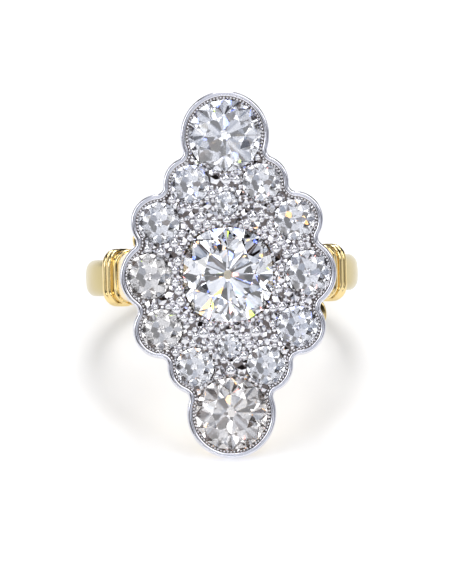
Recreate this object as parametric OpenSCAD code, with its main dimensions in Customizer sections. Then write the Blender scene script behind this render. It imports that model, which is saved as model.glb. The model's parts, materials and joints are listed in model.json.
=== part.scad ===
// Navette cluster ring: a lozenge-shaped platinum head with a scalloped rim, set with old-cut
// stones, on a pierced gallery and a plain band of yellow gold. It lies on its side as it rests
// by itself: on the lower tip of its head and on the back of its band.
// Every piece is drawn in the ring's own frame, with X across the ring, Y along the finger
// towards the head's upper tip and Z outwards through the head, and then laid down.

/* [Finger and band] */
// Diameter of the hole that the finger goes through
finger_d = 17.3; // [16:0.1:20]
// Thickness of the band
band_t = 1.4; // [1.1:0.1:2]
// Width of the band along the finger
band_w = 2.65; // [2:0.05:3.2]
// Rounding of the band's outer edges
band_edge_r = 0.65; // [0.3:0.05:0.8]
// Radius of the crowned outer face of the band
band_crown_r = 5; // [4:0.5:12]

/* [Shoulders] */
// Width of the shoulders along the finger
shoulder_w = 3.7; // [3.3:0.1:4.2]
// Thickness of the shoulders where their ridges stand
shoulder_t = 1.7; // [1.5:0.1:2.1]
// Rounding of the shoulders' outer edges
shoulder_edge_r = 0.8; // [0.5:0.1:1.2]
// Thickness of the shoulders where they meet the head
shoulder_top_t = 2.1; // [1.6:0.1:2.6]
// Angle of the first ridge above the line across the ring
ridge_angle = 33.6; // [30:0.2:37]
// Radius of the two ridges at the foot of each shoulder
ridge_r = 0.25; // [0.15:0.05:0.3]
// Distance between these two ridges
ridge_pitch = 0.52; // [0.4:0.02:0.7]
// Radius of the thin ridge nearer to the head
upper_ridge_r = 0.17; // [0.1:0.01:0.25]
// Length over which the thin ridge runs down the shoulders' sides
upper_ridge_l = 0.6; // [0.4:0.1:0.7]
// Distance of the thin ridge below the head
upper_ridge_drop = 3.3; // [2.4:0.1:3.8]

/* [Head outline] */
// Length of the head along the finger
head_l = 26.1; // [25.6:0.1:28]
// Width of the head across the finger
head_w = 15.4; // [15:0.1:17]
// Width of the raised rim
rim_w = 0.45; // [0.35:0.05:0.6]
// Radius of the lobe at each side of the waist
waist_lobe_r = 2.6; // [2.4:0.1:2.8]
// Radius of the small hollows between the lobes
notch_r = 0.5; // [0.3:0.1:0.7]

/* [Head heights] */
// Height of the gallery between the finger and the head's plate
gallery_h = 2.6; // [2.3:0.1:3.4]
// Thickness of the platinum plate under the stones
plate_t = 0.95; // [0.8:0.05:1.3]
// Height of the rim above the plate
rim_h = 0.45; // [0.3:0.05:0.6]
// How far the stones' girdles lie below the face of the plate
girdle_sink = 0.08; // [0.04:0.02:0.2]

/* [Gallery] */
// How far the gallery stands in from the head's outline
gallery_inset = 0.25; // [0.15:0.05:0.4]
// Thickness of the gallery's wall
gallery_wall = 0.85; // [0.7:0.05:1]
// Clearance between the finger's hole and the gallery's lower rail
rail_gap = 0.3; // [0.2:0.05:0.5]
// Radius of the arches that pierce the gallery
arch_r = 0.6; // [0.4:0.05:0.7]
// Height of gold left below the arches
rail_h = 0.5; // [0.4:0.05:0.6]
// Radius of the two gallery posts that show beside the waist
post_r = 1; // [0.8:0.05:1.1]
// Width of the slit through these posts
slit_w = 0.25; // [0.15:0.05:0.35]
// Part of the length along which the gallery's underside stays level
keel_flat_l = 14.6; // [12:0.2:16]
// Height of the gallery's wall at the tips, to which its underside rises
gallery_tip_h = 0.2; // [0.1:0.05:0.25]

/* [Stones] */
// Width of the centre stone across the finger
centre_w = 6.67; // [6:0.01:7]
// Length of the centre stone along the finger
centre_l = 7; // [6.4:0.1:7.2]
// Diameter of the stones in the end lobes
tip_d = 5.2; // [4.8:0.1:5.3]
// Diameter of the four stones next to the end lobes
inner_d = 2.76; // [2.4:0.01:2.9]
// Diameter of the four stones next to the waist
outer_d = 2.94; // [2.6:0.01:3.1]
// Diameter of the two stones at the waist
waist_d = 3.26; // [2.9:0.01:3.4]
// Diameter of the two small stones on the long axis
accent_d = 1.7; // [1.4:0.1:1.8]
// Clearance between a stone and its seat
seat_gap = 0.05; // [0.03:0.01:0.08]

/* [Grains] */
// Largest radius of the grains raised beside the stones
grain_r = 0.26; // [0.18:0.01:0.32]
// Diameter of the polished beads between the stones
bead_d = 0.84; // [0.6:0.02:0.9]
// Clearance between a grain and a stone
grain_gap = 0.04; // [0.03:0.01:0.06]

/* [Hidden] */
$fn = 96;
eps = 0.01;
// How far a cut runs past what it cuts
over = 1;

finger_r = finger_d / 2;
band_r = finger_r + band_t;
shoulder_r = finger_r + shoulder_t;

// Levels above the finger's axis
gallery_z = finger_r + rail_gap;
plate_z = finger_r + gallery_h;
field_z = plate_z + plate_t;
rim_z = field_z + rim_h;
girdle_z = field_z - girdle_sink;
solder_gap = 0.02;
gallery_top_z = plate_z - solder_gap;

// Places of the lobes and stones, as shares of half the head's width and length
INNER_AT = [0.328, 0.498];
OUTER_AT = [0.625, 0.291];
ACCENT_AT = [0, 0.388];
MID_BEAD_AT = [0, 0.517];
SIDE_BEAD_AT = [0.247, 0.31];
function head_point(share) = [share[0] * head_w / 2, share[1] * head_l / 2];
inner_p = head_point(INNER_AT);
outer_p = head_point(OUTER_AT);
accent_p = head_point(ACCENT_AT);

// A lobe is as large as its stone, the gap round it and its rim
lobe_gap = 0.12;
tip_lobe_r = tip_d / 2 + lobe_gap + rim_w;
inner_lobe_r = inner_d / 2 + lobe_gap + rim_w;
outer_lobe_r = outer_d / 2 + lobe_gap + rim_w;
tip_p = [0, head_l / 2 - tip_lobe_r];
waist_lobe_p = [head_w / 2 - waist_lobe_r, 0];
// The waist stones reach this far under the rim
waist_under_rim = 0.06;
waist_p = [head_w / 2 - rim_w + waist_under_rim - waist_d / 2, 0];

// Laying the ring down: the floor touches the head's lower tip and the band's rounded back edge
back_corner = [band_r - band_edge_r, band_w / 2 - band_edge_r];
tip_reach = [plate_z, head_l / 2];
fall_v = tip_reach[1] - back_corner[1];
fall_u = tip_reach[0] + back_corner[0];
lie_angle = acos(band_edge_r / norm([fall_u, fall_v])) - atan2(fall_u, fall_v);
floor_drop = tip_reach[1] * cos(lie_angle) - tip_reach[0] * sin(lie_angle);
front_y = -rim_z * cos(lie_angle) - head_l / 2 * sin(lie_angle);
back_y = back_corner[0] * cos(lie_angle) + back_corner[1] * sin(lie_angle) + band_edge_r;
centre_y = (front_y + back_y) / 2;

// Proportions of an old cut, as shares of the stone's half width, with its angles per facet
CROWN = 0.33;
GIRDLE = 0.04;
PAVILION = 0.86;
TABLE = 0.55;
STAR = 0.76;
LOWER = 0.5;
CULET = 0.1;
MAINS = 8;
facet_a = 360 / MAINS;
// How much wider a cushion-shaped stone is along its diagonals
CUSHION = 0.035;
ROUND = 0;

// Centre of the hollow of radius f that touches the lobes round a and b
function hollow(a, a_r, b, b_r, f) =
  let (
    d = norm(b - a), ra = a_r + f, rb = b_r + f,
    along = (ra * ra - rb * rb + d * d) / (2 * d), off = sqrt(ra * ra - along * along),
    u = (b - a) / d
  ) a + along * u + off * [u[1], -u[0]];

// Lobes of the upper right quarter, from the tip down to the waist
LOBES = [[tip_p, tip_lobe_r], [inner_p, inner_lobe_r], [outer_p, outer_lobe_r], [waist_lobe_p, waist_lobe_r]];
LAST = len(LOBES) - 1;
function hollow_after(i) =
  hollow(LOBES[i + 1][0], LOBES[i + 1][1], LOBES[i][0], LOBES[i][1], notch_r);

// Points along an arc, both ends included, in steps of about ARC_STEP degrees
ARC_STEP = 11;
function arc(c, r, from, to) =
  let (n = max(2, ceil(abs(to - from) / ARC_STEP)))
  [for (i = [0:n]) let (a = from + (to - from) * i / n) c + r * [cos(a), sin(a)]];
function heading(from, to) = atan2(to[1] - from[1], to[0] - from[0]);

// A list without its first point
function rest(points) = [for (i = [1:len(points) - 1]) points[i]];
function backwards(points) = [for (i = [len(points) - 1:-1:0]) points[i]];
function carried(points, x, y) = [for (p = points) [x * p[0], y * p[1]]];

// The upper right quarter of the outline, from the tip round its lobes and hollows to the waist
function quarter_outline(inset) = [
  for (i = [0:LAST]) let (
    c = LOBES[i][0], start = i == 0 ? 90 : heading(c, hollow_after(i - 1)),
    end = i == LAST ? 0 : heading(c, hollow_after(i)), lobe = arc(c, LOBES[i][1] - inset, start, end)
  ) each i == LAST ? rest(lobe) : let (
    h = hollow_after(i), in = heading(h, c), out = heading(h, LOBES[i + 1][0]),
    bend = rest(arc(h, notch_r + inset, in, out < in ? out + 360 : out))
  ) concat(i == 0 ? lobe : rest(lobe), bend)
];

// Outline of the head, moved inwards by inset
module head_2d(inset) {
  q = quarter_outline(inset);
  back = backwards(q);
  polygon(concat(
    q, rest(carried(back, 1, -1)), rest(carried(q, -1, -1)),
    [for (i = [1:len(q) - 2]) [-back[i][0], back[i][1]]]
  ));
}

module quarters() {
  for (x = [0, 1], y = [0, 1]) mirror([x, 0, 0]) mirror([0, y, 0]) children();
}

// Lays a piece drawn in the ring's frame on the floor, with the object centred over the origin
module laid() {
  translate([0, -centre_y, floor_drop]) rotate([90 - lie_angle, 0, 0]) children();
}

// A flat bar's section with rounded outer edges, from x = r - t to x = r
module bar_2d(r, t, w, edge) {
  translate([r - t, -w / 2]) square([t - edge, w]);
  translate([r - t, edge - w / 2]) square([t, w - 2 * edge]);
  for (s = [-1, 1]) translate([r - edge, s * (w / 2 - edge)]) circle(edge);
}

// Turns a section round the finger, from one angle to another, above the line across the ring
module round_finger(from, to) {
  rotate([90, 0, 0]) rotate([0, 0, from]) rotate_extrude(angle = to - from) children();
}

foot_start = ridge_angle - 0.5 * atan(ridge_pitch / shoulder_r);
second_ridge_angle = ridge_angle + atan(ridge_pitch / shoulder_r);
foot_end = second_ridge_angle + atan(ridge_r / shoulder_r);

// The band and shoulders start this far inside the finger's hole, which is then cut through them
bore_cut = 0.3;

module band() {
  round_finger(180 - ridge_angle, 360 + ridge_angle) intersection() {
    bar_2d(band_r, band_t + bore_cut, band_w, band_edge_r);
    translate([band_r - band_crown_r, 0]) circle(band_crown_r);
  }
}

// A half-round bead across the shoulder and down its sides, in the plane across the band
module ridge(r, depth) {
  half_flat = shoulder_w / 2 - shoulder_edge_r;
  rotate([90, 0, 0]) cylinder(r = r, h = 2 * half_flat, center = true);
  for (s = [0, 1]) mirror([0, s, 0]) {
    translate([-shoulder_edge_r, half_flat, 0]) rotate_extrude(angle = 90)
      translate([shoulder_edge_r, 0]) circle(r);
    translate([-shoulder_edge_r, shoulder_w / 2, 0]) rotate([0, -90, 0])
      cylinder(r = r, h = depth);
  }
}

// The shoulder's outer line, from its foot on the band to the head, a little inside the gallery
crest_step = 0.1;
foot_p = shoulder_r * [cos(foot_end), sin(foot_end)];
crest_p = [head_w / 2 - gallery_inset - crest_step, gallery_top_z];
rise_a = atan2(crest_p[1] - foot_p[1], crest_p[0] - foot_p[0]);
rise_l = norm(crest_p - foot_p);

// Angle round the finger over which the shoulder hugs it before it turns up to the gallery
hug_angle = 17;
inner_turn_a = foot_end + hug_angle;

module shoulder_side_2d() {
  inside = finger_r - bore_cut;
  polygon([
    foot_p, crest_p, crest_p - [shoulder_top_t, 0],
    inside * [cos(inner_turn_a), sin(inner_turn_a)], inside * [cos(foot_end), sin(foot_end)]
  ]);
}

module shoulder() {
  round_finger(foot_start, foot_end)
    bar_2d(shoulder_r, shoulder_t + bore_cut, shoulder_w, shoulder_edge_r);
  intersection() {
    rotate([90, 0, 0]) linear_extrude(shoulder_w + over, center = true) shoulder_side_2d();
    translate([foot_p[0], 0, foot_p[1]]) rotate([0, 90 - rise_a, 0]) translate([0, 0, -over])
      linear_extrude(rise_l + 2 * over) bar_2d(0, rise_l, shoulder_w, shoulder_edge_r);
  }
  for (a = [ridge_angle, second_ridge_angle])
    rotate([0, -a, 0]) translate([shoulder_r, 0, 0]) ridge(ridge_r, shoulder_t - shoulder_edge_r);
  along = rise_l - upper_ridge_drop;
  translate([foot_p[0] + along * cos(rise_a), 0, foot_p[1] + along * sin(rise_a)])
    rotate([0, 90 - rise_a, 0]) ridge(upper_ridge_r, upper_ridge_l);
}

// Angle at which the gallery's underside rises towards the tips
keel_angle = atan2(
  gallery_top_z - gallery_z - gallery_tip_h, head_l / 2 - gallery_inset - keel_flat_l / 2
);

// Directions in which arches pierce the wall round each lobe, from the lobe's centre
ARCHES = [[tip_p, [42]], [inner_p, [38]], [outer_p, [22]]];
arch_z = gallery_z + rail_h;
arch_h = gallery_top_z - arch_z - rail_h;

module arch() {
  rotate([0, 90, 0]) cylinder(r = arch_r, h = tip_lobe_r + over);
  translate([0, -arch_r, arch_r - arch_h]) cube([tip_lobe_r + over, 2 * arch_r, arch_h - arch_r]);
}

// The post stands in the hollow between the waist and its neighbour, and shows past the rim
post_reach = 0.35;
slit_angle = 35;
post_p = hollow_after(2) - (notch_r + post_r - post_reach) * [1, 0];

module post() {
  difference() {
    translate([post_p[0], post_p[1], gallery_z]) cylinder(r = post_r, h = gallery_top_z - gallery_z);
    translate([post_p[0], post_p[1], (gallery_z + gallery_top_z) / 2]) rotate([slit_angle, 0, 0])
      cube([2 * post_r + over, slit_w, arch_h], center = true);
  }
}

module gallery() {
  difference() {
    union() {
      translate([0, 0, gallery_z]) linear_extrude(gallery_top_z - gallery_z) difference() {
        head_2d(gallery_inset);
        head_2d(gallery_inset + gallery_wall);
      }
      for (a = [0, 180]) rotate([0, 0, a]) mirror([1, 0, 0]) post();
    }
    quarters() for (l = ARCHES, a = l[1])
      translate([l[0][0], l[0][1], arch_z + arch_h - arch_r]) rotate([0, 0, a]) arch();
    for (s = [0, 1]) mirror([0, s, 0]) translate([-head_w / 2, keel_flat_l / 2, gallery_z])
      rotate([keel_angle, 0, 0]) translate([0, -over, -2 * gallery_h])
        cube([head_w, head_l, 2 * gallery_h]);
  }
}

// The waist stones' points reach down into the shoulders' tops, which are hollowed for them
module point_hollow(s) {
  depth = PAVILION * s[1] + seat_gap;
  translate([s[0][0], s[0][1], girdle_z - depth])
    cylinder(r1 = seat_gap, r2 = s[1] / cos(facet_a / 2) + seat_gap, h = depth);
}

module shank() {
  color([0.86, 0.69, 0.33]) laid() difference() {
    union() {
      band();
      for (s = [0, 1]) mirror([s, 0, 0]) shoulder();
      gallery();
    }
    for (s = [0, 1]) mirror([s, 0, 0]) point_hollow(WAIST);
    rotate([90, 0, 0]) cylinder(r = finger_r, h = 2 * head_l, center = true, $fn = 240);
  }
}

// Stones as [place, half width, half length, cushion]
CENTRE = [[0, 0], centre_w / 2, centre_l / 2, CUSHION];
TIP = [tip_p, tip_d / 2, tip_d / 2, CUSHION / 3];
INNER = [inner_p, inner_d / 2, inner_d / 2, ROUND];
OUTER = [outer_p, outer_d / 2, outer_d / 2, ROUND];
WAIST = [waist_p, waist_d / 2, waist_d / 2, ROUND];
ACCENT = [accent_p, accent_d / 2, accent_d / 2, ROUND];
QUARTER_STONES = [TIP, INNER, OUTER, WAIST, ACCENT];

function stone_reach(s) = max(s[1], s[2]) * (1 + s[3]);

// A seat is a well for the girdle, a cone beside the pavilion and a hole that is open below
SMALLEST_HOLE = 0.5;
module seat(s) {
  r = stone_reach(s) + seat_gap;
  depth = PAVILION * min(s[1], s[2]);
  hole_r = max(r * (1 - (girdle_z - plate_z + eps) / depth), SMALLEST_HOLE * r);
  cone_h = depth * (1 - hole_r / r);
  ledge_z = girdle_z - GIRDLE * r - seat_gap;
  translate([s[0][0], s[0][1], 0]) {
    translate([0, 0, ledge_z]) cylinder(r = r, h = rim_z - ledge_z + over);
    translate([0, 0, ledge_z - cone_h]) cylinder(r1 = hole_r, r2 = r, h = cone_h);
    translate([0, 0, plate_z - over]) cylinder(r = hole_r, h = ledge_z - plate_z + over);
  }
}

// Pairs of neighbouring stones with grains in the gap between them, and how far to each side of
// the line between the two the grains stand, as shares of the smaller stone's radius
GRAINS = [
  [TIP, INNER, [-0.62, 0.62]], [INNER, OUTER, [-0.95, -0.35, 0.35, 0.95]],
  [OUTER, WAIST, [-0.95, -0.35, 0.35, 0.95]], [CENTRE, INNER, [-0.9, 0, 0.9]],
  [CENTRE, OUTER, [-0.8, -0.25, 0.25, 0.8]], [CENTRE, WAIST, [-0.95, -0.4, 0.4, 0.95]],
  [ACCENT, INNER, [-0.7, 0.1, 0.9]], [CENTRE, ACCENT, [-0.8]], [TIP, ACCENT, [-0.9]]
];

// Clear distance from a point to the nearest stone, over the stones that a quarter touches
NEAR = concat(QUARTER_STONES, [CENTRE]);
function clear_of_stones(p) = min([for (s = NEAR) norm(p - s[0]) - stone_reach(s)]);

function between(a, b, share) =
  let (
    d = norm(b[0] - a[0]), u = (b[0] - a[0]) / d, ra = stone_reach(a), rb = stone_reach(b),
    small = min(ra, rb)
  ) a[0] + u * (ra + d - rb) / 2 + share * small * [-u[1], u[0]];

// Clear distance from a point to the rim where the outline turns inwards
function clear_of_rim(p) = min([for (i = [0:LAST - 1]) norm(p - hollow_after(i)) - notch_r - rim_w]);

SMALLEST_GRAIN = 0.1;
module grains() {
  for (g = GRAINS, share = g[2]) {
    p = between(g[0], g[1], share);
    r = min(grain_r, clear_of_stones(p) - grain_gap, clear_of_rim(p));
    if (r >= SMALLEST_GRAIN && p[0] >= 0) translate([p[0], p[1], field_z]) sphere(r, $fn = 32);
  }
  for (share = [MID_BEAD_AT, SIDE_BEAD_AT]) {
    p = head_point(share);
    r = min(bead_d / 2, clear_of_stones(p) - grain_gap);
    translate([p[0], p[1], field_z]) sphere(r, $fn = 32);
  }
}

module head_setting() {
  color([0.86, 0.87, 0.9]) laid() {
    difference() {
      union() {
        translate([0, 0, plate_z]) linear_extrude(plate_t) head_2d(0);
        translate([0, 0, field_z - eps]) linear_extrude(rim_h + eps) difference() {
          head_2d(0);
          head_2d(rim_w);
        }
        quarters() grains();
      }
      seat(CENTRE);
      quarters() for (s = QUARTER_STONES) seat(s);
    }
  }
}

// Outline of a stone at angle a, which a cushion carries further out along its diagonals
function girdle_point(s, a, share) =
  let (k = share * (1 - s[3] * cos(4 * a))) [s[1] * k * cos(a), s[2] * k * sin(a)];

// A ring of points at a share of the outline's size and a height, each turned by a part of a facet
function stone_ring(s, share, z, turn) =
  [for (i = [0:MAINS - 1]) let (p = girdle_point(s, (i + turn) * facet_a, share)) [p[0], p[1], z]];

// An old cut: table, stars, kites and upper girdle facets, and below them lower halves, mains and culet
module stone(s) {
  r = min(s[1], s[2]);
  half_girdle = GIRDLE * r / 2;
  mid = cos(facet_a / 2);
  crown_z = CROWN * r;
  star_z = crown_z * (1 - (STAR * mid - TABLE) / (1 - TABLE));
  pavilion_z = PAVILION * r;
  lower_z = -pavilion_z * (1 - LOWER * mid);
  culet_z = -pavilion_z * (1 - CULET * mid);
  n = MAINS;
  points = concat(
    stone_ring(s, TABLE, half_girdle + crown_z, 0), stone_ring(s, STAR, half_girdle + star_z, 0.5),
    stone_ring(s, 1, half_girdle, 0), stone_ring(s, 1, half_girdle, 0.5),
    stone_ring(s, 1, -half_girdle, 0), stone_ring(s, 1, -half_girdle, 0.5),
    stone_ring(s, LOWER, lower_z - half_girdle, 0.5), stone_ring(s, CULET, culet_z - half_girdle, 0.5)
  );
  table = 0;
  star = n;
  top = 2 * n;
  top_mid = 3 * n;
  low = 4 * n;
  low_mid = 5 * n;
  lower = 6 * n;
  culet = 7 * n;
  faces = concat(
    [[for (i = [n - 1:-1:0]) table + i]], [[for (i = [0:n - 1]) culet + i]],
    [for (i = [0:n - 1]) let (j = (i + 1) % n, h = (i + n - 1) % n) each [
      [table + i, table + j, star + i],
      [table + i, star + i, top + i], [table + i, top + i, star + h],
      [star + i, top_mid + i, top + i], [star + i, top + j, top_mid + i],
      [top + i, top_mid + i, low_mid + i, low + i], [top_mid + i, top + j, low + j, low_mid + i],
      [low + i, low_mid + i, lower + i], [low_mid + i, low + j, lower + i],
      [low + i, lower + i, culet + i], [low + i, culet + i, culet + h], [low + i, culet + h, lower + h]
    ]]
  );
  color([0.93, 0.94, 0.96]) laid() translate([s[0][0], s[0][1], girdle_z])
    polyhedron(points, faces, convexity = 2);
}

// A stone of the upper right quarter, carried over to another quarter
function turned(s, x, y) = [[x * s[0][0], y * s[0][1]], s[1], s[2], s[3]];

module centre_stone() stone(CENTRE);
module top_stone() stone(TIP);
module bottom_stone() stone(turned(TIP, 1, -1));
module upper_inner_left_stone() stone(turned(INNER, -1, 1));
module upper_inner_right_stone() stone(INNER);
module upper_outer_left_stone() stone(turned(OUTER, -1, 1));
module upper_outer_right_stone() stone(OUTER);
module waist_left_stone() stone(turned(WAIST, -1, 1));
module waist_right_stone() stone(WAIST);
module lower_outer_left_stone() stone(turned(OUTER, -1, -1));
module lower_outer_right_stone() stone(turned(OUTER, 1, -1));
module lower_inner_left_stone() stone(turned(INNER, -1, -1));
module lower_inner_right_stone() stone(turned(INNER, 1, -1));
module upper_accent_stone() stone(ACCENT);
module lower_accent_stone() stone(turned(ACCENT, 1, -1));

shank();
head_setting();
centre_stone();
top_stone();
bottom_stone();
upper_inner_left_stone();
upper_inner_right_stone();
upper_outer_left_stone();
upper_outer_right_stone();
waist_left_stone();
waist_right_stone();
lower_outer_left_stone();
lower_outer_right_stone();
lower_inner_left_stone();
lower_inner_right_stone();
upper_accent_stone();
lower_accent_stone();
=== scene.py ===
"""Navette cluster ring, lying on its side on a pale floor.

The ring is modelled in its own frame, in millimetres: X across the ring, Y along the finger towards
the head's upper tip, and Z outwards through the head. Each finished piece is then laid down, in
metres, as the finger's bore says.
"""
import json
import logging
import math
from collections.abc import Callable, Iterator
from contextlib import contextmanager
from dataclasses import dataclass
from enum import Enum

import bmesh
import bpy
from mathutils import Matrix, Vector


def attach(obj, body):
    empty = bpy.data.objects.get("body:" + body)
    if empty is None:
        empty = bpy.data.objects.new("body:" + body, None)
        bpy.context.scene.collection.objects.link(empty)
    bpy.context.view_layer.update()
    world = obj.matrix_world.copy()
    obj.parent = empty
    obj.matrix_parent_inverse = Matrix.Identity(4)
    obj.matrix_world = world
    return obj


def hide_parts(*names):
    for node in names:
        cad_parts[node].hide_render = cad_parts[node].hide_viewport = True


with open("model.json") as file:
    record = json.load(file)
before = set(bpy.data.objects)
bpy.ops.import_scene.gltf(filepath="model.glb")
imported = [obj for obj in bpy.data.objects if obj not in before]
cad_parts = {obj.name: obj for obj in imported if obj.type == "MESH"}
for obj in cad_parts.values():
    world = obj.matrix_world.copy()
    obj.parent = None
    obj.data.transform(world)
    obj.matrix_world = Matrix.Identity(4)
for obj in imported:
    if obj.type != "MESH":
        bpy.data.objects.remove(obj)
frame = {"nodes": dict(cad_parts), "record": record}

logging.basicConfig(level=logging.INFO, format="%(message)s")
log = logging.getLogger("navette_ring")

MM = 0.001
# Millimetres under which an edge is a cut's sliver, and under which two points are one.
SLIVER = 0.01
SAME = 1e-4
# Degrees from which an edge stays sharp.
CREASE = 40
# Millimetres between soldered pieces.
OPEN_GAP = 0.02
BODY = "root"

Piece = bpy.types.Object
Three = tuple[float, float, float]
Place = tuple[float, float, float, float]
Wall = list[tuple[Vector, Vector]]


class Slot(Enum):
    """Material slots of the record."""

    GOLD = "gold"
    PLATINUM = "platinum"


class Ball(Enum):
    """Ways of modelling a bead or grain."""

    FACETED = "a few flat faces"
    SMALL = "a small polished ball"
    LARGE = "a large polished ball"


def lay_matrix() -> Matrix:
    """The turn and move that lay the ring down, read from the finger's bore.

    Returns:
        Matrix from the ring's own frame in millimetres to the floor's in metres.
    """
    bore = next(m for m in frame["record"]["mounts"] if m["name"] == "finger_bore")
    across = Vector((1, 0, 0))
    along = Vector(bore["axis"]).normalized()
    turn = Matrix((across, along, across.cross(along))).transposed().to_4x4()
    return Matrix.Translation(Vector(bore["pos_m"])) @ turn @ Matrix.Scale(MM, 4)


LAY = lay_matrix()


def pick(piece: Piece) -> None:
    """Selects one object alone and makes it active."""
    bpy.ops.object.select_all(action="DESELECT")
    piece.select_set(True)
    bpy.context.view_layer.objects.active = piece


@contextmanager
def editing(piece: Piece, action: str = "SELECT") -> Iterator[None]:
    """Opens a piece's mesh for editing, with all of it or nothing selected."""
    pick(piece)
    bpy.ops.object.mode_set(mode="EDIT")
    bpy.ops.mesh.select_all(action=action)
    yield
    bpy.ops.object.mode_set(mode="OBJECT")


def added(name: str) -> Piece:
    """Names the object that an operator has just added, and returns it."""
    piece = bpy.context.active_object
    piece.name = name
    piece.data.name = name
    return piece


def apply_modifier(piece: Piece, kind: str, **settings: object) -> None:
    """Adds a modifier to a piece and applies it.

    Args:
        piece: The object to change.
        kind: Blender's name of the modifier's type.
        **settings: Values of the modifier's own properties.
    """
    pick(piece)
    modifier = piece.modifiers.new(kind.title(), kind)
    for key, value in settings.items():
        setattr(modifier, key, value)
    bpy.ops.object.modifier_apply(modifier=modifier.name)


def merge_slivers(piece: Piece) -> None:
    """Merges the doubled points and the slivers that a cut leaves."""
    with editing(piece):
        bpy.ops.mesh.remove_doubles(threshold=SLIVER)
        bpy.ops.mesh.dissolve_degenerate(threshold=SLIVER)
        bpy.ops.mesh.delete_loose(use_faces=False)


def cut(piece: Piece, cutter: Piece) -> None:
    """Cuts a piece with another one, which is then deleted."""
    apply_modifier(piece, "BOOLEAN", operation="DIFFERENCE", solver="EXACT", object=cutter)
    bpy.data.objects.remove(cutter)
    merge_slivers(piece)


def join(pieces: list[Piece], name: str) -> Piece:
    """Joins pieces into one.

    Args:
        pieces: The objects to join.
        name: Name of the joined piece.

    Returns:
        The joined object.
    """
    pick(pieces[0])
    for piece in pieces[1:]:
        piece.select_set(True)
    if len(pieces) > 1:
        bpy.ops.object.join()
    return added(name)


def copied(piece: Piece, place: Matrix) -> Piece:
    """A copy of a piece with its own mesh, carried over by a matrix."""
    copy = piece.copy()
    copy.data = piece.data.copy()
    copy.data.transform(place)
    bpy.context.collection.objects.link(copy)
    return copy


def outward(piece: Piece) -> None:
    """Merges a mesh's doubles and turns its faces outwards."""
    with editing(piece):
        bpy.ops.mesh.remove_doubles(threshold=SAME)
        bpy.ops.mesh.normals_make_consistent(inside=False)


def fill(piece: Piece, corners: list[int]) -> None:
    """Fills the loop of vertices that corners lists, in edit mode."""
    bpy.ops.mesh.select_all(action="DESELECT")
    mesh = bmesh.from_edit_mesh(piece.data)
    mesh.verts.ensure_lookup_table()
    for index in corners:
        mesh.verts[index].select = True
    mesh.select_flush(True)
    bmesh.update_edit_mesh(piece.data)
    bpy.ops.mesh.edge_face_add()


def loft(name: str, rings: list[list[Vector]], capped: bool) -> Piece:
    """Makes a shell by extruding a loop of edges from one section to the next.

    Args:
        name: Name of the new piece.
        rings: Sections with the same number of points each.
        capped: Whether the first and the last section are filled.

    Returns:
        The new object, with its faces outwards.
    """
    count = len(rings[0])
    bpy.ops.mesh.primitive_circle_add(vertices=count, radius=1, fill_type="NOTHING")
    piece = added(name)
    with editing(piece):
        mesh = bmesh.from_edit_mesh(piece.data)
        for vert, place in zip(mesh.verts, rings[0]):
            vert.co = place
        bmesh.update_edit_mesh(piece.data)
        last = list(range(count))
        for places in rings[1:]:
            bpy.ops.mesh.extrude_region_move()
            mesh = bmesh.from_edit_mesh(piece.data)
            mesh.verts.index_update()
            order = {index: turn for turn, index in enumerate(last)}
            for vert in [v for v in mesh.verts if v.select]:
                beside = [edge.other_vert(vert).index for edge in vert.link_edges]
                turn = next(order[index] for index in beside if index in order)
                last[turn] = vert.index
                vert.co = places[turn]
            bmesh.update_edit_mesh(piece.data)
        if capped:
            fill(piece, list(range(count)))
            fill(piece, last)
    outward(piece)
    return piece


def finish(piece: Piece, slot: Slot, node: str, *materials: bpy.types.Material) -> None:
    """Lays a finished piece down, gives it its materials and ties it to the frame.

    Args:
        piece: The piece, in the ring's own frame.
        slot: The record's slot; not used.
        node: The CAD node that it stands for.
        *materials: Its finishes, in the order of its faces' material numbers.
    """
    piece.data.transform(LAY)
    for material in materials:
        piece.data.materials.append(material)
    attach(piece, BODY)
    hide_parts(node)
    log.info("%s: %d faces", piece.name, len(piece.data.polygons))


def spread(seed: float) -> float:
    """An even but irregular share from 0 to 1 for a seed, the same in each run."""
    value = math.sin(seed * 12.9898) * 43758.5453
    return value - math.floor(value)


def smooth(piece: Piece, angle: float = CREASE) -> None:
    """Shades a piece smooth, apart from edges sharper than an angle in degrees."""
    pick(piece)
    bpy.ops.object.shade_smooth_by_angle(angle=math.radians(angle))


def add_node(tree: bpy.types.NodeTree, kind: str, values: dict[str, object]) -> bpy.types.Node:
    """Adds a node to a tree.

    Args:
        tree: The tree of nodes.
        kind: Blender's name of the node's type.
        values: Values of its inputs by name.

    Returns:
        The new node.
    """
    node = tree.nodes.new(kind)
    for name, value in values.items():
        node.inputs[name].default_value = value
    return node


@dataclass(frozen=True)
class Finish:
    """A finish whose colour drifts between two tones in fine clouds."""

    name: str
    colour: Three
    shade: Three

    def clouded(self, scale: float, detail: float) -> tuple[bpy.types.Material, bpy.types.Node]:
        """Makes the material with its clouded base colour.

        Args:
            scale: How fine the clouds are.
            detail: How rough they are.

        Returns:
            The material and the clouds' node.
        """
        made = bpy.data.materials.new(self.name)
        made.use_nodes = True
        tree = made.node_tree
        place = tree.nodes.new("ShaderNodeTexCoord")
        cloud = add_node(tree, "ShaderNodeTexNoise", {"Scale": scale, "Detail": detail})
        tree.links.new(place.outputs["Object"], cloud.inputs["Vector"])
        tint = tree.nodes.new("ShaderNodeMix")
        tint.data_type = "RGBA"
        tint.inputs["A"].default_value = (*self.colour, 1.0)
        tint.inputs["B"].default_value = (*self.shade, 1.0)
        tree.links.new(cloud.outputs["Fac"], tint.inputs["Factor"])
        tree.links.new(tint.outputs["Result"], tree.nodes["Principled BSDF"].inputs["Base Color"])
        return made, cloud


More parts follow.
